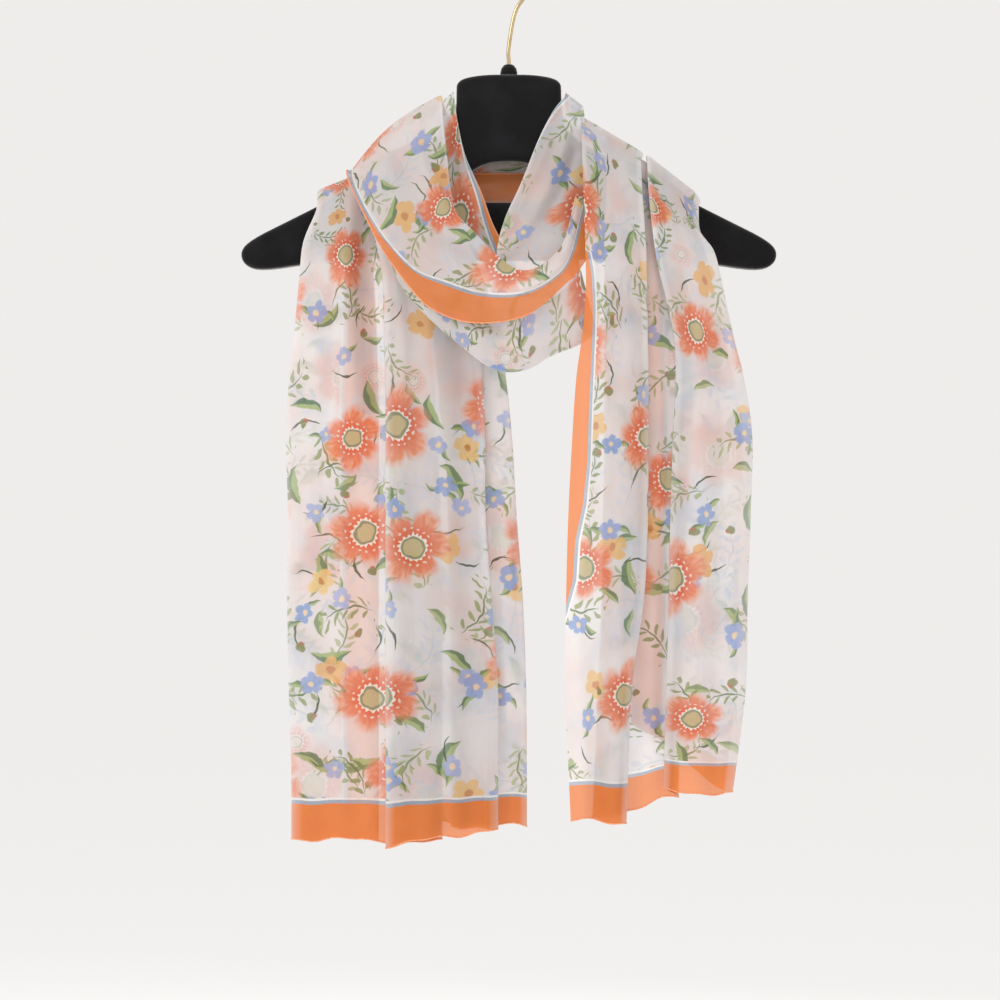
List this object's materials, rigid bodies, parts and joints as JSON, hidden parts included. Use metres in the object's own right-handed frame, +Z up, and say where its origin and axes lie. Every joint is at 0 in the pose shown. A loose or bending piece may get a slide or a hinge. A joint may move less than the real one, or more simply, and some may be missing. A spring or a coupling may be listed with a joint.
{
  "type": "chiffon scarf on a display hanger",
  "caption": "Long printed chiffon scarf with a contrasting border, wound once round the neck of a dark board hanger, with a cowl and two hanging tails.",
  "frame": {"origin": "the inner top of the hook, where the hanger hangs from a rail", "axes": "+Z up along the shank, -Y the front of the scarf, +X to the viewer's right"},
  "size_m": [0.41, 0.1076, 0.6874],
  "materials": {
    "chiffon": "printed semi-sheer polyester chiffon, fine plain weave",
    "flocking": "black flocked board",
    "brass_wire": "pale gold plated steel wire"
  },
  "bodies": {
    "root": {"tail_left": "chiffon", "shoulder_left": "chiffon", "neck_back_inner": "chiffon", "tail_right": "chiffon", "shoulder_right": "chiffon", "neck_back_right": "chiffon", "cowl_flap": "chiffon", "shoulder_cowl": "chiffon", "neck_back_left": "chiffon", "cowl_right": "chiffon", "neck_left_inner": "chiffon", "cowl_under": "chiffon", "hanger_board": "flocking", "hook_collar": "flocking", "hook": "brass_wire"}
  },
  "joints": []
}
